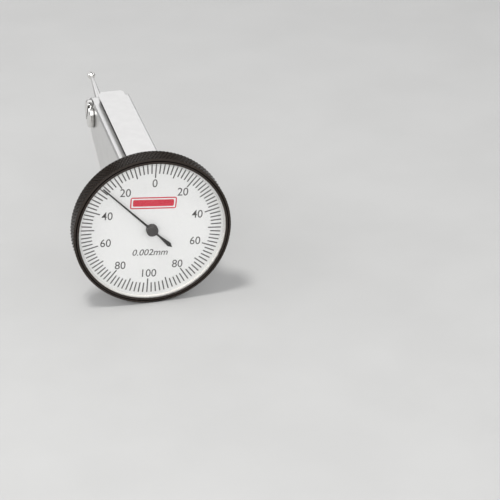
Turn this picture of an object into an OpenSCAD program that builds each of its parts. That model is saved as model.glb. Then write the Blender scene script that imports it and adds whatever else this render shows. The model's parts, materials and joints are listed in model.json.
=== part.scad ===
// Lever-type dial indicator, vertical pattern: the dial faces -Y, the body runs back along +Y to the stylus.
// Sub-parts are drawn about the dial axis, then moved so the origin is the middle of the rail's top face.

/* [Bezel and dial] */
// Outer diameter of the bezel
bezel_d = 35.2; // [35:0.1:35.6]
// Depth of the bezel, front to back
bezel_depth = 4.85; // [4.6:0.05:5]
// Radial width of the bezel's front lip
lip_w = 1.3; // [1.2:0.05:1.4]
// Thickness of the clear crystal
crystal_t = 0.5; // [0.4:0.05:0.5]
// Rise of the crystal's dome
crystal_rise = 0.65; // [0.5:0.05:0.7]
// Thickness of the dial plate
dial_t = 0.35; // [0.3:0.05:0.4]

/* [Pointer] */
// Length of the pointer from its axis to its tip
pointer_len = 15.2; // [13:0.1:15.5]
// Length of the pointer's tail
tail_len = 6.4; // [5:0.1:8]
// Angle of the pointer at rest, anticlockwise from the top
pointer_angle = 43; // [0:1:90]
// Diameter of the hub at the middle of the pointer
hub_d = 2.6; // [2.2:0.1:3.2]

/* [Body] */
// Width of the body
body_w = 9.4; // [9:0.1:10]
// Height of the body's shoulders above the dial axis
shoulder_z = 11.85; // [11.7:0.05:12]
// Depth of the body's flat underside below the dial axis
belly_z = 9; // [8:0.1:9.5]
// Distance from the bezel's front to the end of the nose
nose_t = 50.9; // [50.8:0.1:51.2]

/* [Dovetail rail] */
// Width of the rail across its top face
rail_w = 6.25; // [6:0.05:6.4]
// Height of the rail above the shoulders
rail_h = 1.35; // [1.2:0.05:1.5]
// Angle of the rail's flanks
rail_angle = 60; // [55:1:65]
// Distance from the bezel's front to the far end of the rail
rail_end_t = 49; // [48.8:0.1:49.4]

/* [Stylus] */
// Length from the pivot axis to the centre of the ball
contact_len = 15.8; // [14:0.1:20]
// Diameter of the contact ball
ball_d = 1.9; // [1:0.1:2]
// Angle of the stylus at rest, above the body's axis
stylus_angle = 12; // [0:1:15]
// Diameter of the slotted disc on the pivot
pivot_disc_d = 6.7; // [6:0.1:6.8]

/* [Gear train] */
// Teeth on the centre pinion and on the second pinion
pinion_teeth = 10; // [10:1:10]
// Teeth on the second wheel
wheel_teeth = 53; // [53:1:53]
// Teeth on the full circle of the sector
sector_teeth = 90; // [90:1:90]

/* [Hidden] */
$fn = 96;

// Bezel: radii from the dial axis, depths behind its front face
bezel_r = bezel_d / 2;
lip_r = bezel_r - lip_w;
bore_r = bezel_r - 0.7;
lip_t = 0.3;
crystal_back = lip_t + crystal_t;
dial_front = 1.7;
dial_back = dial_front + dial_t;
dial_ring_back = dial_back + 0.35;
groove_r = bore_r + 0.25;
groove_t = 3.7;
groove_w = 0.6;

// Pointer: depths of the hub's face and of the needle
hub_front = 0.38;
needle_t = 0.95;
needle_back = 1.1;

// Case: the sleeve runs in the bezel, the cup holds the movement
fit = 0.06;
sleeve_r = bore_r - fit;
sleeve_front = 2.6;
sleeve_in_r = bezel_r - 2.3;
collar_front = bezel_depth + 0.1;
collar_r = bezel_r - 1.1;
collar_back = 6;
cup_r = 13;
cup_in_r = 12;
wall_t = 10.5;
case_back = 12;

// Movement: plates and the three arbors, all parallel to Y
front_plate_t = 2.7;
plate_thick = 0.6;
back_plate_t = wall_t - plate_thick;
plate_gap_front = front_plate_t + plate_thick;
tooth_module = 0.2;
backlash = 0.03;
pinion_r = tooth_module * pinion_teeth / 2;
wheel_r = tooth_module * wheel_teeth / 2;
sector_r = tooth_module * sector_teeth / 2;
arbor_r = 0.4;
tip_r = 0.25;
jewel_r = 0.8;
jewel_clear = 0.03;
lever_x = -0.3;
pivot_t = 47.3;
pivot_z = 8.7;
fork_t = 9.5;
lever_len = pivot_t - fork_t;
travel_per_turn = 0.2;
lever_ratio = travel_per_turn / contact_len / (2 * PI);
sector_ratio = (pinion_teeth / wheel_teeth) * (pinion_teeth / sector_teeth);
arm_len = lever_len * lever_ratio / sector_ratio;
second_x = 4;
second_reach = wheel_r + pinion_r + backlash;
second_z = -sqrt(second_reach * second_reach - second_x * second_x);
sector_x = lever_x + arm_len;
sector_reach = sector_r + pinion_r + backlash;
sector_z = second_z + sqrt(sector_reach * sector_reach - pow(sector_x - second_x, 2));
wheel_to_centre = atan2(-second_z, -second_x);
sector_to_second = atan2(second_z - sector_z, second_x - sector_x);
arbor_places = [[0, 0], [second_x, second_z], [sector_x, sector_z]];
pillar_r = 1.2;
pillar_places = [for (a = [28, 152, 232]) polar(10.6, a)];
foot_places = [for (a = [100, 200]) polar(10.3, a)];
pin_r = 0.3;
fork_gap = 0.7;

// Body, nose and pivot
half_w = body_w / 2;
rail_top = shoulder_z + rail_h;
rail_mid = (case_back + rail_end_t) / 2;
undercut = rail_h / tan(rail_angle);
nose_r = 1.8;
slot_x0 = -3.3;
slot_x1 = -0.9;
slot_front = 44.6;
slot_top_front = 49.4;
slot_ceiling = 11.1;
slot_mid = (slot_x0 + slot_x1) / 2;
cavity_x0 = -2.6;
cavity_x1 = 2.2;
cover_in = half_w - 1;
cover_t0 = 15;
cover_t1 = 41;
cover_z0 = 3;
cover_z1 = 9.6;
cover_pins = [[17, 4.4], [39, 8.2], [28, 8.2]];
disc_thick = 1.3;
shaft_r = 1;
journal_r = 0.6;
bearing_clear = 0.03;
bearing_r = 1.1;
hub_r = 2.1;
boss_end = 4.2;
case_screw_places = [[0, -3], [0, -7], [0, 9.6]];

// Moves a sub-part from the dial's axes to the rail's
module place() {
    translate([0, -rail_mid, -rail_top]) children();
}

// A round bar along Y between two depths
module rod_y(r, t0, t1, x = 0, z = 0) {
    translate([x, t0, z]) rotate([-90, 0, 0]) cylinder(r = r, h = t1 - t0);
}

// A ring about Y between two depths
module ring_y(r, r_in, t0, t1, x = 0, z = 0) {
    difference() {
        rod_y(r, t0, t1, x, z);
        rod_y(r_in, t0 - 1, t1 + 1, x, z);
    }
}

// A round bar along X through a point of the side view
module rod_x(r, x0, x1, t, z) {
    translate([x0, t, z]) rotate([0, 90, 0]) cylinder(r = r, h = x1 - x0);
}

// Stands a flat front-view shape up between two depths
module slab_y(t0, t1) {
    translate([0, t1, 0]) rotate([90, 0, 0]) linear_extrude(t1 - t0) children();
}

// Stands a flat side-view shape up between two widths
module slab_x(x0, x1) {
    translate([x0, 0, 0]) rotate([90, 0, 90]) linear_extrude(x1 - x0) children();
}

// Turns a profile of radius and depth about the dial axis
module turned() {
    rotate([-90, 0, 0]) rotate_extrude() children();
}

// Outline of a spur gear; phase turns its first tooth anticlockwise from +X
function polar(r, a) = [r * cos(a), r * sin(a)];
module gear_outline(teeth, r, phase) {
    pitch = 360 / teeth;
    root = r - 0.24;
    tip = r + 0.15;
    polygon([for (i = [0 : teeth - 1], c = [[-0.28, root], [-0.11, tip], [0.11, tip], [0.28, root]])
        polar(c[1], phase + (i + c[0]) * pitch)]);
}

// A slotted cheese-head screw along Y, head towards the dial
module screw_y(x, z, head_r, head_t0, head_t1, r, end_t) {
    difference() {
        rod_y(head_r, head_t0, head_t1, x, z);
        translate([x - head_r - 1, head_t0 - 1, z - 0.15]) cube([2 * head_r + 2, 1.25, 0.3]);
    }
    rod_y(r, head_t1, end_t, x, z);
}

// ---- Body and case ----

// Side view of the body, with its rounded nose and sloping underside
module body_side() {
    polygon([[case_back, -belly_z], [17.2, -belly_z], [49.2, 1.8], [nose_t, 3.2],
        [nose_t, shoulder_z - nose_r], [nose_t - nose_r, shoulder_z], [case_back, shoulder_z]]);
    translate([nose_t - nose_r, shoulder_z - nose_r]) circle(r = nose_r);
}

// Front view of the body with small bevels along its long edges
module body_front() {
    bevel = 0.35;
    polygon([[-half_w, -belly_z + bevel], [-half_w + bevel, -belly_z], [half_w - bevel, -belly_z],
        [half_w, -belly_z + bevel], [half_w, shoulder_z - bevel], [half_w - bevel, shoulder_z],
        [-half_w + bevel, shoulder_z], [-half_w, shoulder_z - bevel]]);
}

// The dovetail rail, its far corners cut back
module rail() {
    top = rail_w / 2;
    intersection() {
        slab_y(case_back, rail_end_t) polygon([[-top, rail_top], [top, rail_top],
            [top - undercut, shoulder_z], [top - undercut, shoulder_z - 1],
            [undercut - top, shoulder_z - 1], [undercut - top, shoulder_z]]);
        linear_extrude(rail_top + 1) polygon([[-half_w, case_back], [half_w, case_back],
            [half_w, rail_end_t - 3.6], [top - 0.5, rail_end_t],
            [1 - top, rail_end_t], [-half_w, rail_end_t - 4.8]]);
    }
}

// Hollow for the lever, from the case back to the nose
module lever_hollow() {
    slab_x(cavity_x0, cavity_x1) polygon([[case_back - 1, sector_z - 1.7], [case_back - 1, sector_z + 1.7],
        [pivot_t - 3.1, slot_ceiling], [pivot_t + 2.4, slot_ceiling],
        [pivot_t + 2.4, 6.1], [pivot_t - 3.1, 6.1]]);
}

// Outline of the side cover
module cover_side() {
    translate([cover_t0, cover_z0]) square([cover_t1 - cover_t0, cover_z1 - cover_z0]);
}

module housing() {
    relief = 0.5;
    relief_w = 0.75;
    relief_x = (rail_w - undercut) / 2 - 0.25;
    color("gainsboro") place() difference() {
        union() {
            intersection() {
                slab_x(-half_w, half_w) body_side();
                slab_y(case_back, nose_t) body_front();
            }
            rail();
        }
        // Relief grooves at the foot of the rail
        for (side = [-1, 1])
            translate([side * relief_x - relief_w / 2, case_back - 1, shoulder_z - relief])
                cube([relief_w, nose_t - case_back, relief]);
        lever_hollow();
        // Slot that the stylus holder turns in, open below and at the nose
        slab_x(slot_x0, slot_x1) polygon([[slot_front, -belly_z], [nose_t + 1, -belly_z],
            [nose_t + 1, rail_top + 1], [slot_top_front, rail_top + 1],
            [slot_top_front, slot_ceiling], [slot_front, slot_ceiling]]);
        // Seats of the two pivot screws
        rod_x(1.7, -half_w - 1, slot_x0 + 1, pivot_t, pivot_z);
        rod_x(2.4, cavity_x1 - 0.5, half_w + 1, pivot_t, pivot_z);
        // Recess and window under the side cover
        slab_x(cover_in, half_w + 1) cover_side();
        slab_x(cavity_x1 - 1, half_w) polygon([[18.6, 4.3], [37.2, 5.9], [37.2, 7], [18.6, 7]]);
        for (p = cover_pins) rod_x(0.5, cavity_x1 + 0.3, half_w, p[0], p[1]);
        for (p = case_screw_places) rod_y(0.7, case_back - 1, 15.5, p[0], p[1]);
    }
}

module side_cover() {
    color("silver") place() difference() {
        slab_x(cover_in, half_w) translate([cover_t0 + 0.04, cover_z0 + 0.04])
            square([cover_t1 - cover_t0 - 0.08, cover_z1 - cover_z0 - 0.08]);
        for (p = cover_pins) {
            rod_x(0.5, cover_in - 1, half_w + 1, p[0], p[1]);
            rod_x(1, half_w - 0.55, half_w + 1, p[0], p[1]);
        }
    }
}

module cover_screws() {
    color("silver") place() for (p = cover_pins) {
        rod_x(0.5, cavity_x1 + 0.4, half_w - 0.55, p[0], p[1]);
        difference() {
            rod_x(1, half_w - 0.55, half_w - 0.05, p[0], p[1]);
            translate([half_w - 0.3, p[0] - 2, p[1] - 0.15]) cube([1, 4, 0.3]);
        }
    }
}

module case() {
    color("gainsboro") place() difference() {
        turned() polygon([[0, case_back], [cup_r, case_back],
            [cup_r, collar_back + 0.5], [cup_r + 0.6, collar_back],
            [collar_r, collar_back], [collar_r, collar_front], [sleeve_r, collar_front],
            [sleeve_r, groove_t + groove_w], [sleeve_r - 0.5, groove_t + groove_w],
            [sleeve_r - 0.5, groove_t], [sleeve_r, groove_t],
            [sleeve_r, sleeve_front], [sleeve_in_r, sleeve_front],
            [sleeve_in_r, collar_back - 0.8], [cup_in_r, collar_back - 0.8],
            [cup_in_r, wall_t], [0, wall_t]]);
        translate([lever_x - 1.2, wall_t - 1, sector_z - 1.7]) cube([2.4, 3, 3.4]);
        for (p = case_screw_places) {
            rod_y(0.7, wall_t - 1, case_back + 1, p[0], p[1]);
            rod_y(1.4, wall_t - 1, wall_t + 0.8, p[0], p[1]);
        }
        for (p = foot_places) rod_y(0.5, wall_t - 1, case_back - 0.4, p[0], p[1]);
    }
}

module case_screws() {
    color("silver") place() for (p = case_screw_places)
        screw_y(p[0], p[1], 1.4, wall_t, wall_t + 0.8, 0.7, 15.4);
}

module bezel_spring() {
    color("dimgray") place() difference() {
        ring_y(groove_r - 0.08, sleeve_r - 0.4, groove_t + 0.1, groove_t + groove_w - 0.1);
        translate([-0.6, 0, -bezel_r - 1]) cube([1.2, 10, 5]);
    }
}

// ---- Bezel group ----

module bezel() {
    color("#26231f") place() turned() polygon([[lip_r, 0], [bezel_r - 0.35, 0], [bezel_r, 0.35],
        [bezel_r, bezel_depth - 0.3], [bezel_r - 0.3, bezel_depth], [bore_r, bezel_depth],
        [bore_r, groove_t + groove_w], [groove_r, groove_t + groove_w],
        [groove_r, groove_t], [bore_r, groove_t],
        [bore_r, lip_t], [lip_r, lip_t]]);
}

// Shallow dome with a flat rim that sits behind the bezel's lip
module crystal() {
    steps = 10;
    function dome(front) = [for (i = [0 : steps])
        [lip_r * i / steps, front - crystal_rise * cos(90 * i / steps)]];
    outside = dome(lip_t);
    inside = dome(crystal_back);
    color("white", 0.3) place() turned() polygon(concat(outside, [[bore_r, lip_t], [bore_r, crystal_back]],
        [for (i = [steps : -1 : 0]) inside[i]]));
}

module crystal_gasket() {
    color("ivory") place() ring_y(bore_r, lip_r + 0.15, crystal_back, dial_front);
}

module dial_plate() {
    color("white") place() ring_y(bore_r, 1.1, dial_front, dial_back);
}

module dial_ring() {
    color("dimgray") place() ring_y(bore_r, bore_r - 1, dial_back, dial_ring_back);
}

// ---- Movement frame ----

module front_plate() {
    color("goldenrod") place() difference() {
        rod_y(sleeve_in_r - 0.1, front_plate_t, plate_gap_front);
        for (p = arbor_places) rod_y(jewel_r, 0, wall_t, p[0], p[1]);
        for (p = pillar_places) rod_y(0.5, 0, wall_t, p[0], p[1]);
    }
}

module back_plate() {
    color("goldenrod") place() difference() {
        rod_y(cup_in_r - 0.1, back_plate_t, wall_t);
        for (p = arbor_places) rod_y(jewel_r, 0, wall_t + 1, p[0], p[1]);
        for (p = foot_places) rod_y(0.5, 0, wall_t + 1, p[0], p[1]);
        translate([lever_x - 1.2, wall_t - 2, sector_z - 1.7]) cube([2.4, 3, 3.4]);
    }
}

module pillars() {
    color("goldenrod") place() for (p = pillar_places)
        ring_y(pillar_r, 0.5, plate_gap_front, back_plate_t, p[0], p[1]);
}

module plate_screws() {
    color("silver") place() for (p = pillar_places)
        screw_y(p[0], p[1], 0.9, front_plate_t - 0.3, front_plate_t, 0.5, 7);
}

module movement_screws() {
    color("silver") place() for (p = foot_places)
        screw_y(p[0], p[1], 1, back_plate_t - 0.5, back_plate_t, 0.5, case_back - 0.5);
}

module front_jewels() {
    color("crimson") place() for (i = [0 : 2])
        ring_y(jewel_r, (i == 0 ? arbor_r : tip_r) + jewel_clear, front_plate_t, plate_gap_front,
            arbor_places[i][0], arbor_places[i][1]);
}

module back_jewels() {
    color("crimson") place() for (p = arbor_places)
        ring_y(jewel_r, tip_r + jewel_clear, back_plate_t, wall_t, p[0], p[1]);
}

// ---- Pointer group ----

module pointer() {
    color("#2a2623") place() slab_y(needle_t, needle_back) rotate(pointer_angle) difference() {
        union() {
            polygon([[-0.13, pointer_len], [-0.24, 0.3], [-0.2, -2.4], [-0.5, 1 - tail_len],
                [0, -tail_len], [0.5, 1 - tail_len], [0.2, -2.4], [0.24, 0.3], [0.13, pointer_len]]);
            circle(r = 0.7);
        }
        circle(r = arbor_r);
    }
}

module pointer_hub() {
    color("#5a5652") place() difference() {
        turned() polygon([[0, hub_front], [hub_d / 2 - 0.2, hub_front], [hub_d / 2, hub_front + 0.15],
            [hub_d / 2, dial_front - 0.12], [0, dial_front - 0.12]]);
        rod_y(arbor_r, needle_t, dial_front);
        rod_y(0.7, needle_t, needle_back);
        slab_y(needle_t, needle_back) rotate(pointer_angle) translate([-0.27, -3]) square([0.54, 6]);
    }
}

module pointer_arbor() {
    color("silver") place() {
        rod_y(arbor_r, needle_t, back_plate_t - 0.1);
        rod_y(tip_r, back_plate_t - 0.1, wall_t - 0.05);
    }
}

module centre_pinion() {
    color("silver") place() difference() {
        slab_y(4.2, 5.2) gear_outline(pinion_teeth, pinion_r, wheel_to_centre + 180 + 180 / pinion_teeth);
        rod_y(arbor_r, 0, 9);
    }
}

module hairspring_collet() {
    color("goldenrod") place() ring_y(0.8, arbor_r, 7.9, 8.7);
}

// Flat spiral of five turns, fixed at its outer end
module hairspring() {
    turns = 5;
    steps = 100;
    inner_r = 0.9;
    outer_r = 4;
    half_ribbon = 0.04;
    function spiral(side) = [for (i = [0 : steps])
        polar(inner_r + (outer_r - inner_r) * i / steps + side * half_ribbon,
            180 + i * 360 * turns / steps)];
    inside = spiral(-1);
    color("steelblue") place() slab_y(8.1, 8.5)
        polygon(concat(spiral(1), [for (i = [steps : -1 : 0]) inside[i]]));
}

module hairspring_stud() {
    color("goldenrod") place() rod_y(0.4, 8, back_plate_t, -4.44, 0);
}

// ---- Second arbor ----

module second_arbor() {
    color("silver") place() {
        rod_y(arbor_r, plate_gap_front + 0.1, back_plate_t - 0.1, second_x, second_z);
        rod_y(tip_r, front_plate_t + 0.05, plate_gap_front + 0.1, second_x, second_z);
        rod_y(tip_r, back_plate_t - 0.1, wall_t - 0.05, second_x, second_z);
    }
}

module second_pinion() {
    color("silver") place() difference() {
        slab_y(6, 7.1) translate([second_x, second_z])
            gear_outline(pinion_teeth, pinion_r, sector_to_second + 180 + 180 / pinion_teeth);
        rod_y(arbor_r, 0, 9, second_x, second_z);
    }
}

module second_wheel() {
    color("goldenrod") place() difference() {
        slab_y(4.5, 4.9) translate([second_x, second_z]) gear_outline(wheel_teeth, wheel_r, wheel_to_centre);
        rod_y(arbor_r, 0, 9, second_x, second_z);
        for (a = [20 : 90 : 290])
            rod_y(1.1, 0, 9, second_x + 2.9 * cos(a), second_z + 2.9 * sin(a));
    }
}

module wheel_collet() {
    color("goldenrod") place() ring_y(0.9, arbor_r, 4.9, 5.6, second_x, second_z);
}

// ---- Sector ----

module sector_arbor() {
    color("silver") place() {
        rod_y(arbor_r, plate_gap_front + 0.1, back_plate_t - 0.1, sector_x, sector_z);
        rod_y(tip_r, front_plate_t + 0.05, plate_gap_front + 0.1, sector_x, sector_z);
        rod_y(tip_r, back_plate_t - 0.1, wall_t - 0.05, sector_x, sector_z);
    }
}

// Toothed arc on a tapered arm; enough teeth for the full travel
module sector_gear() {
    first = -3;
    last = 5;
    pitch = 360 / sector_teeth;
    rim_in = sector_r - 1;
    color("goldenrod") place() difference() {
        slab_y(6.3, 6.8) translate([sector_x, sector_z]) rotate(sector_to_second) {
            polygon(concat(
                [for (i = [last : -1 : first]) polar(rim_in, i * pitch)],
                [for (i = [first : last], c = [[-0.28, -0.24], [-0.11, 0.15], [0.11, 0.15], [0.28, -0.24]])
                    polar(sector_r + c[1], (i + c[0]) * pitch)]));
            polygon([[0, -1.1], [rim_in + 0.3, -0.5], [rim_in + 0.3, 1.1], [0, 1.1]]);
            circle(r = 1.3);
        }
        rod_y(arbor_r, 0, 9, sector_x, sector_z);
    }
}

module sector_arm() {
    color("goldenrod") place() difference() {
        slab_y(7.4, 8) {
            translate([sector_x, sector_z]) circle(r = 1.1);
            translate([lever_x, sector_z]) circle(r = 0.65);
            translate([lever_x, sector_z - 0.5]) square([arm_len, 1]);
        }
        rod_y(arbor_r, 0, 9, sector_x, sector_z);
        rod_y(pin_r, 0, 9, lever_x, sector_z);
    }
}

module drive_pin() {
    color("silver") place() rod_y(pin_r, 7.4, 10.2, lever_x, sector_z);
}

// ---- Lever group ----

module pivot_screw_left() {
    outer_x = -half_w - disc_thick;
    color("whitesmoke") place() difference() {
        union() {
            translate([outer_x, pivot_t, pivot_z]) rotate([0, 90, 0]) rotate_extrude()
                polygon([[0, 0], [pivot_disc_d / 2 - 0.3, 0], [pivot_disc_d / 2, 0.3],
                    [pivot_disc_d / 2, disc_thick], [0, disc_thick]]);
            rod_x(1.7, -half_w, slot_x0, pivot_t, pivot_z);
        }
        rod_x(bearing_r, -half_w, slot_x0 + 1, pivot_t, pivot_z);
        translate([outer_x, pivot_t, pivot_z]) rotate([35, 0, 0]) cube([1, 0.8, 20], center = true);
    }
}

module pivot_screw_right() {
    color("whitesmoke") place() difference() {
        rod_x(2.4, cavity_x1, half_w, pivot_t, pivot_z);
        rod_x(bearing_r, cavity_x1 - 1, cavity_x1 + 1.4, pivot_t, pivot_z);
        translate([half_w, pivot_t, pivot_z]) rotate([35, 0, 0]) cube([1, 0.7, 20], center = true);
    }
}

module pivot_bearings() {
    color("crimson") place() for (x = [slot_x0 - 1, cavity_x1 + 0.2]) difference() {
        rod_x(bearing_r, x, x + 0.9, pivot_t, pivot_z);
        rod_x(journal_r + bearing_clear, x - 1, x + 2, pivot_t, pivot_z);
    }
}

module pivot_shaft() {
    color("silver") place() {
        rod_x(shaft_r, slot_x0 + 0.1, cavity_x1 - 0.1, pivot_t, pivot_z);
        rod_x(journal_r, slot_x0 - 0.9, slot_x0 + 0.1, pivot_t, pivot_z);
        rod_x(journal_r, cavity_x1 - 0.1, cavity_x1 + 1, pivot_t, pivot_z);
    }
}

// Long arm from the pivot to the fork that carries the drive pin
module lever_arm() {
    fork_z = fork_gap / 2 + 0.5;
    half_hub = 0.5;
    half_arm = 0.4;
    color("lightsteelblue") place() difference() {
        union() {
            rod_x(hub_r, lever_x - half_hub, lever_x + half_hub, pivot_t, pivot_z);
            slab_x(lever_x - half_arm, lever_x + half_arm)
                polygon([[8.9, sector_z - fork_z], [8.9, sector_z + fork_z], [12.5, sector_z + fork_z],
                    [pivot_t - 1.2, pivot_z + 1.3], [pivot_t - 1.2, pivot_z - 1.1],
                    [12.5, sector_z - fork_z]]);
        }
        rod_x(shaft_r, -4, 4, pivot_t, pivot_z);
        translate([lever_x - 1, 8, sector_z - fork_gap / 2]) cube([2, 2.6, fork_gap]);
    }
}

module lever_collar() {
    color("goldenrod") place() difference() {
        rod_x(1.8, lever_x + 0.5, 1.8, pivot_t, pivot_z);
        rod_x(shaft_r, -4, 4, pivot_t, pivot_z);
    }
}

module friction_washer() {
    color("goldenrod") place() difference() {
        rod_x(1.8, lever_x - 0.7, lever_x - 0.5, pivot_t, pivot_z);
        rod_x(shaft_r, -4, 4, pivot_t, pivot_z);
    }
}

// ---- Stylus group ----

// Lays a round bar along the stylus, measured from the pivot axis
module along_stylus() {
    translate([slot_mid, pivot_t, pivot_z]) rotate([stylus_angle - 90, 0, 0]) children();
}

module stylus_holder() {
    color("gainsboro") place() difference() {
        union() {
            rod_x(hub_r, slot_x0 + 0.15, slot_x1 - 0.15, pivot_t, pivot_z);
            along_stylus() cylinder(r = 1, h = boss_end);
        }
        rod_x(shaft_r + bearing_clear, -4, 4, pivot_t, pivot_z);
        along_stylus() translate([0, 0, 2.4]) cylinder(r = 0.5, h = 4);
    }
}

module stylus_stem() {
    shank_r = 0.9;
    shank_end = boss_end + 1.2;
    neck_r = 0.32;
    neck = contact_len - sqrt(ball_d * ball_d / 4 - neck_r * neck_r);
    color("gainsboro") place() difference() {
        along_stylus() {
            translate([0, 0, 2.5]) cylinder(r = 0.5, h = boss_end - 2.5);
            translate([0, 0, boss_end]) cylinder(r = shank_r, h = shank_end - boss_end);
            translate([0, 0, shank_end]) cylinder(r1 = shank_r, r2 = neck_r, h = neck - shank_end + 0.3);
        }
        along_stylus() translate([0, 0, contact_len]) sphere(d = ball_d);
    }
}

module contact_ball() {
    color("whitesmoke") place() along_stylus() translate([0, 0, contact_len]) sphere(d = ball_d);
}

housing();
side_cover();
cover_screws();
case();
case_screws();
bezel_spring();
front_plate();
back_plate();
pillars();
plate_screws();
movement_screws();
front_jewels();
back_jewels();
hairspring();
hairspring_stud();
pivot_screw_left();
pivot_screw_right();
pivot_bearings();
bezel();
crystal();
crystal_gasket();
dial_plate();
dial_ring();
pointer();
pointer_hub();
pointer_arbor();
centre_pinion();
hairspring_collet();
second_arbor();
second_pinion();
second_wheel();
wheel_collet();
sector_arbor();
sector_gear();
sector_arm();
drive_pin();
pivot_shaft();
lever_arm();
lever_collar();
friction_washer();
stylus_holder();
stylus_stem();
contact_ball();
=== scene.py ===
import json
import math

import bpy
from mathutils import Euler, Matrix, Vector


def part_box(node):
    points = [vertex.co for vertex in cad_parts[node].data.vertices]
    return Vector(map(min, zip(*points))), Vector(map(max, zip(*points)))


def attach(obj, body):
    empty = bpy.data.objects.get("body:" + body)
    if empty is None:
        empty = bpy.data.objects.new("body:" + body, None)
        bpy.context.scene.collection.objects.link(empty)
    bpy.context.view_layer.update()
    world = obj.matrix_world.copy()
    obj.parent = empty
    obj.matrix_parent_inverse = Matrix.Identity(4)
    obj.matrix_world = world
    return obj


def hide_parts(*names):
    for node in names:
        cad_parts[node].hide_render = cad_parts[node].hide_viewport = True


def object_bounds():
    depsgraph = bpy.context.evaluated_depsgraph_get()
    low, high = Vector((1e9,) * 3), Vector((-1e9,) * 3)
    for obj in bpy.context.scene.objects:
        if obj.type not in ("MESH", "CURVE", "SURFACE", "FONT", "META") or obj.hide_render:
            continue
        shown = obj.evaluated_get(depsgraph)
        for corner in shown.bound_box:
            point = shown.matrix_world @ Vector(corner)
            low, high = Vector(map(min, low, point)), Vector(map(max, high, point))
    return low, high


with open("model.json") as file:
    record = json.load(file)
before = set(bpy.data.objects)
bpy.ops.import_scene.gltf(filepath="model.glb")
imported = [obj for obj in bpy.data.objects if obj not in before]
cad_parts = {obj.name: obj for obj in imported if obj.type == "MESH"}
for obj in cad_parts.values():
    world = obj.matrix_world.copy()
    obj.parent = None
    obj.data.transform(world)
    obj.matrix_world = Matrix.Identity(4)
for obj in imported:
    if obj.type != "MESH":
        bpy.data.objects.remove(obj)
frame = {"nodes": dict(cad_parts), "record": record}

# ---- Driving sizes ----

MM = 0.001
cad_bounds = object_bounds()
nodes = frame["nodes"]

bezel_low, bezel_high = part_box("bezel")
dial_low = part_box("dial_plate")[0]
DIAL_X = (bezel_low.x + bezel_high.x) / 2
DIAL_Z = (bezel_low.z + bezel_high.z) / 2
BEZEL_R = (bezel_high.x - bezel_low.x) / 2
BEZEL_FRONT = bezel_low.y
BEZEL_DEPTH = bezel_high.y - bezel_low.y
DIAL_FRONT = dial_low.y
DIAL_TURN = math.radians(5.4)
FLOOR_Z = cad_bounds[0][2]


# ---- Camera, from the photograph's angle ----

def make_camera():
    """Looks down on the dial from the front, a little from its left."""
    look_azimuth = math.radians(14.57)
    look_down = math.radians(28.0)
    roll = math.radians(0.15)
    distance = 386.37 * MM
    aside = 21.1 * MM
    above = 3.83 * MM
    turn = Euler((math.pi / 2 - look_down, 0, -look_azimuth), "XYZ").to_matrix()
    turn = turn @ Matrix.Rotation(roll, 3, "Z")
    right, up, back = turn.col[0], turn.col[1], turn.col[2]
    bezel_centre = Vector((DIAL_X, BEZEL_FRONT, DIAL_Z))
    data = bpy.data.cameras.new("camera")
    data.lens = 127.7
    data.sensor_width = 36
    data.clip_start = 0.01
    camera = bpy.data.objects.new("camera", data)
    camera.matrix_world = turn.to_4x4()
    camera.location = bezel_centre + right * aside - up * above + back * distance
    bpy.context.scene.collection.objects.link(camera)
    bpy.context.scene.camera = camera


# ---- Materials ----

# Noise values rarely leave this range, so it is what gets spread over a tone or a roughness.
NOISE_LOW = 0.35
NOISE_HIGH = 0.65

CLOUD_SCALE = 0.35
AO_SAMPLES = 16
# Colour of the painted shade in grooves and slots.
CREVICE_SHADE_TONE = (0.035, 0.033, 0.030, 1)
KNURL_SHADE_REACH = 0.5 * MM
KNURL_SHADE_RANGE = (0.62, 1.0)


def new_material(name):
    material = bpy.data.materials.new(name)
    material.use_nodes = True
    tree = material.node_tree
    shader = tree.nodes["Principled BSDF"]
    return material, tree, shader


def coordinates(tree):
    """Object coordinates in millimetres."""
    where = tree.nodes.new("ShaderNodeTexCoord")
    mapping = tree.nodes.new("ShaderNodeMapping")
    mapping.inputs["Scale"].default_value = (1 / MM,) * 3
    tree.links.new(where.outputs["Object"], mapping.inputs["Vector"])
    return mapping


def noise(tree, place, scale, detail):
    """Noise with about scale features to the millimetre."""
    texture = tree.nodes.new("ShaderNodeTexNoise")
    texture.inputs["Scale"].default_value = scale
    texture.inputs["Detail"].default_value = detail
    tree.links.new(place.outputs["Vector"], texture.inputs["Vector"])
    return texture


def spread(tree, source, low, high, from_low=NOISE_LOW, from_high=NOISE_HIGH):
    """Maps a value, by default a noise value, to the range from low to high."""
    remap = tree.nodes.new("ShaderNodeMapRange")
    remap.inputs["From Min"].default_value = from_low
    remap.inputs["From Max"].default_value = from_high
    remap.inputs["To Min"].default_value = low
    remap.inputs["To Max"].default_value = high
    tree.links.new(source, remap.inputs["Value"])
    return remap.outputs["Result"]


def tint(tree, source, dark, light):
    """Colour between dark and light by a noise value."""
    ramp = tree.nodes.new("ShaderNodeValToRGB")
    ramp.color_ramp.elements[0].position = NOISE_LOW
    ramp.color_ramp.elements[0].color = (*dark, 1)
    ramp.color_ramp.elements[1].position = NOISE_HIGH
    ramp.color_ramp.elements[1].color = (*light, 1)
    tree.links.new(source, ramp.inputs["Fac"])
    return ramp.outputs["Color"]


def bump(tree, shader, source, height):
    node = tree.nodes.new("ShaderNodeBump")
    node.inputs["Strength"].default_value = 1.0
    node.inputs["Distance"].default_value = height
    tree.links.new(source, node.inputs["Height"])
    tree.links.new(node.outputs["Normal"], shader.inputs["Normal"])


def openness(tree, reach, low, high, from_low, from_high):
    """Runs from low, in grooves and slots narrower than the reach, to high in the open."""
    hollow = tree.nodes.new("ShaderNodeAmbientOcclusion")
    hollow.inputs["Distance"].default_value = reach
    hollow.samples = AO_SAMPLES
    return spread(tree, hollow.outputs["AO"], low, high, from_low, from_high)


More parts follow.
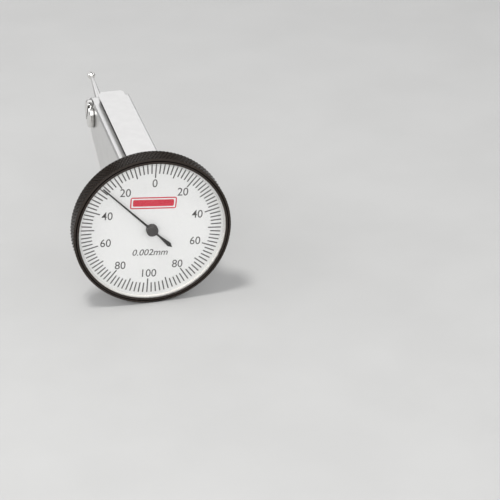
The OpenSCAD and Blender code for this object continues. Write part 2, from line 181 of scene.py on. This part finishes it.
def crevice_shade(tree, colour, reach):
    """Darkens a colour in grooves and slots narrower than the reach."""
    darken = tree.nodes.new("ShaderNodeMix")
    darken.data_type = "RGBA"
    tree.links.new(openness(tree, reach, 0, 1, 0.3, 0.85), darken.inputs["Factor"])
    darken.inputs["A"].default_value = CREVICE_SHADE_TONE
    tree.links.new(colour, darken.inputs["B"])
    return darken.outputs["Result"]


def metal(name, dark, light, rough_low, rough_high,
          grain=6.0, grain_height=0.002 * MM, crevice=0.0):
    """Bare or plated metal: cloudy tone, patchy gloss and a fine blasted grain; with a crevice
    reach, painted shade darkens its grooves and slots.
    """
    material, tree, shader = new_material(name)
    place = coordinates(tree)
    cloud = noise(tree, place, CLOUD_SCALE, 3)
    fine = noise(tree, place, grain, 5)
    colour = tint(tree, cloud.outputs["Fac"], dark, light)
    if crevice:
        colour = crevice_shade(tree, colour, crevice)
    tree.links.new(colour, shader.inputs["Base Color"])
    roughness = spread(tree, fine.outputs["Fac"], rough_low, rough_high)
    tree.links.new(roughness, shader.inputs["Roughness"])
    bump(tree, shader, fine.outputs["Fac"], grain_height)
    shader.inputs["Metallic"].default_value = 1.0
    return material


def coated(name, dark, light, rough_low, rough_high,
           grain=4.0, grain_height=0.003 * MM, gloss=0.5):
    """Paint, plastic or printed enamel with a slight unevenness."""
    material, tree, shader = new_material(name)
    place = coordinates(tree)
    fine = noise(tree, place, grain, 4)
    tree.links.new(tint(tree, fine.outputs["Fac"], dark, light), shader.inputs["Base Color"])
    roughness = spread(tree, fine.outputs["Fac"], rough_low, rough_high)
    tree.links.new(roughness, shader.inputs["Roughness"])
    bump(tree, shader, fine.outputs["Fac"], grain_height)
    shader.inputs["Specular IOR Level"].default_value = gloss
    return material


def knurled_black():
    """Black plating, paler and glossier on the crests of the knurl: partly wear, partly painted
    shade, as ambient occlusion darkens the colour and the gloss in the grooves.
    """
    material, tree, shader = new_material("black_bezel")
    fine = noise(tree, coordinates(tree), 4.0, 4)
    # Painted shade: colour darker in the grooves by ambient occlusion; the paler crests are
    # partly wear.
    crest_wear_and_groove_shade = openness(tree, KNURL_SHADE_REACH, NOISE_LOW, NOISE_HIGH, *KNURL_SHADE_RANGE)
    colour = tint(tree, crest_wear_and_groove_shade, (0.002, 0.0016, 0.0012), (0.024, 0.0175, 0.0135))
    tree.links.new(colour, shader.inputs["Base Color"])
    # Painted shade on the reflections: gloss lowered in the grooves by ambient occlusion.
    gloss = openness(tree, KNURL_SHADE_REACH, 0.0, 0.28, *KNURL_SHADE_RANGE)
    tree.links.new(gloss, shader.inputs["Specular IOR Level"])
    tree.links.new(spread(tree, fine.outputs["Fac"], 0.2, 0.3), shader.inputs["Roughness"])
    bump(tree, shader, fine.outputs["Fac"], 0.003 * MM)
    return material


def clear_material(name, alpha, tone):
    """Clear acrylic: a low alpha leaves only a faint sheen of its own."""
    material, tree, shader = new_material(name)
    place = coordinates(tree)
    haze = noise(tree, place, 0.2, 2)
    tree.links.new(spread(tree, haze.outputs["Fac"], 0.02, 0.06), shader.inputs["Roughness"])
    shader.inputs["Base Color"].default_value = (*tone, 1)
    shader.inputs["Alpha"].default_value = alpha
    return material


def make_materials():
    """One material for each slot of the record, and those of the added pieces.

    metal and coated take a dark and a light tone, then a low and a high roughness.
    """
    return {
        # Both chromes get painted shade in grooves and slots within their crevice reach.
        "satin_chrome": metal(
            "satin_chrome", (0.665, 0.66, 0.65), (0.70, 0.695, 0.685), 0.285, 0.295,
            grain=2.0, grain_height=0.0001 * MM, crevice=0.8 * MM),
        "bright_chrome": metal(
            "bright_chrome", (0.70, 0.69, 0.67), (0.78, 0.77, 0.75), 0.16, 0.22,
            grain=3.0, grain_height=0.0004 * MM, crevice=0.9 * MM),
        "black_bezel": knurled_black(),
        "crystal": clear_material("crystal_clear", 0.02, (0.95, 0.96, 0.97)),
        # Painted highlight: a pale, semi-opaque tone for the light caught on the crystal's
        # bevel.
        "crystal_edge_highlight": clear_material("crystal_edge_highlight", 0.10, (0.80, 0.80, 0.79)),
        "dial_white": coated(
            "dial_white", (0.735, 0.735, 0.725), (0.76, 0.76, 0.75), 0.5, 0.6,
            grain=1.5, grain_height=0.0005 * MM),
        "spacer_ivory": coated(
            "spacer_ivory", (0.66, 0.64, 0.60), (0.76, 0.74, 0.70), 0.45, 0.6, grain=1.0),
        "brass": metal("brass", (0.72, 0.52, 0.24), (0.80, 0.60, 0.30), 0.22, 0.34),
        "steel": metal("steel", (0.55, 0.55, 0.56), (0.64, 0.64, 0.65), 0.2, 0.32),
        "ruby": coated("ruby", (0.45, 0.02, 0.06), (0.6, 0.04, 0.1), 0.08, 0.15),
        "pointer_black": coated(
            "pointer_black", (0.010, 0.009, 0.008), (0.02, 0.018, 0.016), 0.4, 0.5, gloss=0.15),
        "hub_grey": coated(
            "hub_grey", (0.030, 0.027, 0.025), (0.042, 0.038, 0.035), 0.45, 0.6,
            grain=8.0, gloss=0.2),
        "blued_steel": metal("blued_steel", (0.08, 0.12, 0.28), (0.12, 0.17, 0.36), 0.2, 0.3),
        "dial_ink": coated(
            "dial_ink", (0.062, 0.058, 0.055), (0.09, 0.086, 0.082), 0.5, 0.6, gloss=0.3),
        "dial_red": coated(
            "dial_red", (0.50, 0.008, 0.03), (0.60, 0.014, 0.04), 0.45, 0.55, gloss=0.3),
    }


# ---- Mesh helpers ----

def add_mesh(name, verts, faces, material, body, smooth_angle=None):
    """Adds a mesh; with an angle in degrees, edges flatter than it are shaded smooth."""
    mesh = bpy.data.meshes.new(name)
    mesh.from_pydata(verts, [], faces)
    mesh.validate()
    obj = bpy.data.objects.new(name, mesh)
    bpy.context.scene.collection.objects.link(obj)
    mesh.materials.append(material)
    if smooth_angle is not None:
        mesh.polygons.foreach_set("use_smooth", [True] * len(mesh.polygons))
        mesh.set_sharp_from_angle(angle=math.radians(smooth_angle))
    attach(obj, body)
    return obj


def turned_mesh(name, profile, steps, material, body, smooth_angle,
                relief=None, crease=None):
    """Turns a closed profile of (radius, depth) about the dial axis.

    relief(step, row) is taken off the radius, and crease(step, row) names the diagonal that
    splits a face, if one does.
    """
    verts = []
    for i in range(steps):
        angle = 2 * math.pi * i / steps
        for row, (radius, depth) in enumerate(profile):
            r = radius - (relief(i, row) if relief else 0)
            verts.append((DIAL_X + r * math.cos(angle), BEZEL_FRONT + depth,
                          DIAL_Z + r * math.sin(angle)))
    count = len(profile)
    faces = []
    for i in range(steps):
        here = i * count
        there = (i + 1) % steps * count
        for row in range(count):
            after = (row + 1) % count
            a, b, c, d = here + row, there + row, there + after, here + after
            split = crease(i, row) if crease else None
            if split == "rising":
                faces += [(a, b, c), (a, c, d)]
            elif split == "falling":
                faces += [(a, b, d), (b, c, d)]
            else:
                faces.append((a, b, c, d))
    return add_mesh(name, verts, faces, material, body, smooth_angle)


# ---- Bezel ----

LIP_WIDTH = 1.3 * MM
WALL = 0.7 * MM
KNURL_DEPTH = 0.3 * MM
KNURL_TEETH = 132
KNURL_STRETCH = 1.7
KNURL_SAMPLES = 8
KNURL_FRONT = 0.3 * MM
KNURL_BACK = BEZEL_DEPTH - 0.3 * MM
BACK_CHAMFER = 0.35 * MM
WALL_FRONT = 0.3 * MM

# (distance outward from the lip's edge, depth behind the front), in millimetres.
BEZEL_FACE = [(0.25, 0.3), (0, 0.06), (0.05, 0), (0.42, 0), (0.5, 0.06), (0.54, 0.24),
              (0.62, 0.28), (0.7, 0.22), (0.74, 0.1), (1.0, 0.12), (1.2, 0.18)]

CRYSTAL_GAP = 0.01 * MM
BEVEL_WIDTH = 0.45 * MM
BEVEL_STEPS = 240


def saw(value):
    """Triangle wave: 0 at whole numbers, 1 half way."""
    return 1 - abs(2 * (value % 1) - 1)


def make_bezel(material):
    """Rim with a diamond knurl; the face has an inner bead, a turned groove and a shoulder.

    Each tooth is KNURL_STRETCH times as long, from front to back, as it is wide.
    """
    row_step = 2 * math.pi * BEZEL_R / KNURL_TEETH * KNURL_STRETCH / KNURL_SAMPLES
    rows = int((KNURL_BACK - KNURL_FRONT) / row_step)
    lip_r = BEZEL_R - LIP_WIDTH
    inner_r = BEZEL_R - WALL
    profile = [(lip_r + across * MM, depth * MM) for across, depth in BEZEL_FACE]
    first = len(profile)
    profile += [(BEZEL_R, KNURL_FRONT + row_step * k) for k in range(rows + 1)]
    profile += [(BEZEL_R - BACK_CHAMFER, BEZEL_DEPTH), (inner_r, BEZEL_DEPTH),
                (inner_r, WALL_FRONT)]

    def relief(step, row):
        k = row - first
        if not 0 <= k <= rows:
            return 0
        rising = saw((step + k) / KNURL_SAMPLES)
        falling = saw((step - k) / KNURL_SAMPLES)
        return KNURL_DEPTH * (1 - min(rising, falling))

    def crease(step, row):
        k = row - first
        if not 0 <= k < rows:
            return None
        half = KNURL_SAMPLES // 2
        if (step + k + 1) % half == 0:
            return "falling"
        return "rising" if (step - k) % half == 0 else None

    steps = KNURL_TEETH * KNURL_SAMPLES
    ring = turned_mesh("bezel_knurled", profile, steps, material, "bezel_group",
                       smooth_angle=18, relief=relief, crease=crease)
    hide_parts("bezel")


def make_crystal_edge(material):
    """Bevel round the edge of the crystal, just inside the bezel's lip, in a pale semi-opaque
    tone: a painted highlight for the light the bevel catches.
    """
    outer = BEZEL_R - LIP_WIDTH - CRYSTAL_GAP
    inner = outer - BEVEL_WIDTH
    profile = [(inner, 0.22 * MM), (inner + 0.1 * MM, 0.16 * MM),
               (outer, 0.14 * MM), (outer, 0.3 * MM)]
    turned_mesh("crystal_bevel", profile, BEVEL_STEPS, material, "bezel_group",
                smooth_angle=50)


# ---- Printing on the dial ----

INK_HEIGHT = 0.012 * MM
TICK_COUNT = 100
TICK_OUTER_R = 15.65 * MM
TICK_WIDTH_MM = 0.28
TICK_LENGTHS_MM = (3.4, 2.95, 2.35)
LETTER_SWELL = 0.01 * MM
DIGIT_SIZE = 2.7 * MM
DIGIT_NARROW = 0.93
NUMBER_RADII_MM = {0: 10.9, 20: 10.8, 40: 10.55, 60: 10.55, 80: 10.95, 100: 11.0}


def on_dial(obj):
    """Turns a printed piece with the dial, which is set a few degrees clockwise."""
    centre = Vector((DIAL_X, 0, DIAL_Z))
    turn = (Matrix.Translation(centre) @ Matrix.Rotation(DIAL_TURN, 4, "Y")
            @ Matrix.Translation(-centre))
    obj.matrix_world = turn @ obj.matrix_world


def dial_point(radius, angle):
    """Point at a radius and at an angle clockwise from the top, before the dial is turned."""
    return DIAL_X + radius * math.sin(angle), DIAL_Z + radius * math.cos(angle)


def make_ticks(material):
    """A hundred raised bars, longer at every fifth and longest at every tenth."""
    verts = []
    faces = []
    for i in range(TICK_COUNT):
        angle = 2 * math.pi * i / TICK_COUNT
        length = TICK_LENGTHS_MM[0 if i % 10 == 0 else 1 if i % 5 == 0 else 2]
        inner = TICK_OUTER_R - length * MM
        along = Vector((math.sin(angle), 0, math.cos(angle)))
        across = Vector((math.cos(angle), 0, -math.sin(angle)))
        base = len(verts)
        for depth in (0, -INK_HEIGHT):
            middle = Vector((DIAL_X, DIAL_FRONT + depth, DIAL_Z))
            for r, side in ((TICK_OUTER_R, 1), (TICK_OUTER_R, -1), (inner, -1), (inner, 1)):
                verts.append(middle + along * r + across * side * TICK_WIDTH_MM * MM / 2)
        faces.append(tuple(base + k for k in (4, 5, 6, 7)))
        for k in range(4):
            after = (k + 1) % 4
            faces.append((base + k, base + after, base + 4 + after, base + 4 + k))
        faces.append(tuple(base + k for k in (3, 2, 1, 0)))
    ticks = add_mesh("dial_ticks", verts, faces, material, "bezel_group")
    on_dial(ticks)


def make_text(name, words, size, radius, angle, material, shear=0.0, narrow=1.0):
    """Flat raised lettering on the dial, upright in the dial's own frame."""
    curve = bpy.data.curves.new(name, "FONT")
    curve.body = words
    curve.size = size
    curve.align_x = "CENTER"
    curve.align_y = "CENTER"
    curve.shear = shear
    curve.extrude = INK_HEIGHT / 2
    curve.offset = LETTER_SWELL
    curve.resolution_u = 4
    holder = bpy.data.objects.new(name + "_curve", curve)
    bpy.context.scene.collection.objects.link(holder)
    bpy.context.view_layer.update()
    depsgraph = bpy.context.evaluated_depsgraph_get()
    mesh = bpy.data.meshes.new_from_object(holder.evaluated_get(depsgraph))
    bpy.data.objects.remove(holder)
    obj = bpy.data.objects.new(name, mesh)
    mesh.name = name
    mesh.materials.clear()
    mesh.materials.append(material)
    bpy.context.scene.collection.objects.link(obj)
    x, z = dial_point(radius, angle)
    place = (Matrix.Translation((x, DIAL_FRONT - INK_HEIGHT / 2, z))
             @ Matrix.Rotation(math.pi / 2, 4, "X"))
    mesh.transform(place @ Matrix.Diagonal((narrow, 1, 1, 1)))
    on_dial(obj)
    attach(obj, "bezel_group")


def make_numbers(material):
    """0 at the top and 100 at the bottom, with the numbers between them on both sides."""
    for units, radius in NUMBER_RADII_MM.items():
        for side in ((1,) if units in (0, 100) else (1, -1)):
            angle = side * math.pi * units / 100
            name = f"number_{units}" if side == 1 else f"number_{units}_left"
            make_text(name, str(units), DIGIT_SIZE, radius * MM, angle, material,
                      narrow=DIGIT_NARROW)


def rounded_outline(width, height, corner):
    """Points (across, up) round a rectangle with round corners, anticlockwise."""
    points = []
    for quarter, (sx, sz) in enumerate(((1, 1), (-1, 1), (-1, -1), (1, -1))):
        for step in range(5):
            turn = math.pi / 2 * (quarter + step / 4)
            across = sx * (width / 2 - corner) + corner * math.cos(turn)
            up = sz * (height / 2 - corner) + corner * math.sin(turn)
            points.append((across, up))
    return points


def make_frame_line(name, width, height, corner, line, centre, material):
    """Rounded rectangle drawn as a line; a line half as wide as the height fills it.

    The inner ring has nearly square corners, and the gap keeps it open when the line fills it.
    """
    inner_corner = max(corner - line, 0.02 * MM) * 0.1
    gap = 0.001 * MM
    rings = (rounded_outline(width, height, corner),
             rounded_outline(width - 2 * line + gap, height - 2 * line + gap, inner_corner))
    verts = []
    for depth in (0, -INK_HEIGHT):
        for ring in rings:
            verts += [(DIAL_X + x, DIAL_FRONT + depth, DIAL_Z + centre + z) for x, z in ring]
    count = len(rings[0])
    faces = []
    starts = (0, count, 2 * count, 3 * count)
    for k in range(count):
        after = (k + 1) % count
        outer_back, inner_back, outer, inner = (start + k for start in starts)
        outer_back2, inner_back2, outer2, inner2 = (start + after for start in starts)
        faces += [(outer, outer2, inner2, inner),
                  (outer_back, inner_back, inner_back2, outer_back2),
                  (outer_back, outer_back2, outer2, outer),
                  (inner, inner2, inner_back2, inner_back)]
    on_dial(add_mesh(name, verts, faces, material, "bezel_group"))


def make_generic_marks(ink, red):
    """The graduation value below the middle, and a plain red bar in a frame above it."""
    make_text("graduation_value", "0.002mm", 2.15 * MM, 5.8 * MM, math.pi, ink, shear=0.2)
    centre = 6.3 * MM
    make_frame_line("dial_red_frame", 10.3 * MM, 2.8 * MM, 0.5 * MM, 0.28 * MM, centre, red)
    make_frame_line("dial_red_bar", 9.1 * MM, 1.6 * MM, 0.3 * MM, 0.8 * MM, centre, red)


# ---- CAD nodes: finishes and softened edges ----

def soften(obj, width):
    """Welds the imported facets and rounds the sharp edges a little."""
    weld = obj.modifiers.new("weld", "WELD")
    weld.merge_threshold = 0.001 * MM
    flat = obj.modifiers.new("flat", "DECIMATE")
    flat.decimate_type = "DISSOLVE"
    flat.angle_limit = math.radians(0.5)
    edge = obj.modifiers.new("edge", "BEVEL")
    edge.width = width
    edge.segments = 2
    edge.limit_method = "ANGLE"
    edge.angle_limit = math.radians(32)
    level = obj.modifiers.new("level", "WEIGHTED_NORMAL")
    level.keep_sharp = True
    level.weight = 100


def finish_nodes(materials):
    """Gives each CAD node the material of its slot, and the larger ones softened edges."""
    slots = {part["node"]: part["material_slot"] for part in frame["record"]["subparts"]}
    for name, obj in nodes.items():
        obj.data.materials.clear()
        obj.data.materials.append(materials[slots[name]])
        obj.data.polygons.foreach_set("use_smooth", [True] * len(obj.data.polygons))
        obj.data.set_sharp_from_angle(angle=math.radians(30))
    soften(nodes["housing"], width=0.14 * MM)
    for name in ("side_cover", "pivot_screw_left", "pivot_screw_right"):
        soften(nodes[name], width=0.08 * MM)


# ---- Stage ----

def make_floor():
    reach = 3.0
    corners = ((-reach, -reach), (reach, -reach), (reach, reach), (-reach, reach))
    mesh = bpy.data.meshes.new("floor")
    mesh.from_pydata([(x, y, FLOOR_Z) for x, y in corners], [], [(0, 1, 2, 3)])
    floor = bpy.data.objects.new("floor", mesh)
    bpy.context.scene.collection.objects.link(floor)
    mesh.materials.append(coated(
        "floor_pale", (0.46, 0.46, 0.455), (0.48, 0.48, 0.475), 0.6, 0.7, grain=0.05))


def add_area(name, location, target, size, power, shade=(1, 1, 1)):
    """Rectangular lamp facing the target, in metres and watts."""
    data = bpy.data.lights.new(name, "AREA")
    data.shape = "RECTANGLE"
    data.size, data.size_y = size
    data.energy = power
    data.color = shade
    lamp = bpy.data.objects.new(name, data)
    lamp.location = location
    lamp.rotation_euler = (Vector(target) - Vector(location)).to_track_quat("-Z", "Y").to_euler()
    bpy.context.scene.collection.objects.link(lamp)


def make_world():
    """Studio surround: dim near the horizon, bright above it and dim at the zenith."""
    world = bpy.data.worlds.new("studio")
    bpy.context.scene.world = world
    bpy.context.scene.view_settings.view_transform = "Standard"
    world.use_nodes = True
    tree = world.node_tree
    background = tree.nodes["Background"]
    where = tree.nodes.new("ShaderNodeTexCoord")
    split = tree.nodes.new("ShaderNodeSeparateXYZ")
    ramp = tree.nodes.new("ShaderNodeValToRGB")
    tree.links.new(where.outputs["Generated"], split.inputs["Vector"])
    tree.links.new(split.outputs["Z"], ramp.inputs["Fac"])
    tree.links.new(ramp.outputs["Color"], background.inputs["Color"])
    # Sine of the elevation, and the brightness there.
    bands = ((0.0, 0.5), (0.02, 0.2), (0.17, 0.24), (0.27, 1.8), (0.6, 2.05), (0.85, 0.35))
    stops = ramp.color_ramp.elements
    while len(stops) < len(bands):
        stops.new(1.0)
    for stop, (height, level) in zip(stops, bands):
        stop.position = height
        stop.color = (level, level, level * 1.01, 1)
    background.inputs["Strength"].default_value = 0.66


def make_lights():
    middle = (0, 0, DIAL_Z)
    add_area("key_above", (-0.12, -0.10, 0.5), middle,
             size=(0.1, 0.1), power=1.6, shade=(1, 0.995, 0.98))
    add_area("front_fill", (-0.05, -0.55, 0.22), middle, size=(0.5, 0.35), power=1.3)
    add_area("left_side", (-0.5, 0.12, 0.2), middle,
             size=(0.25, 0.3), power=0.6, shade=(0.99, 0.995, 1))
    make_world()


# ---- Build ----

make_camera()
materials = make_materials()
finish_nodes(materials)
make_bezel(materials["black_bezel"])
make_crystal_edge(materials["crystal_edge_highlight"])
make_ticks(materials["dial_ink"])
make_numbers(materials["dial_ink"])
make_generic_marks(materials["dial_ink"], materials["dial_red"])
make_floor()
make_lights()
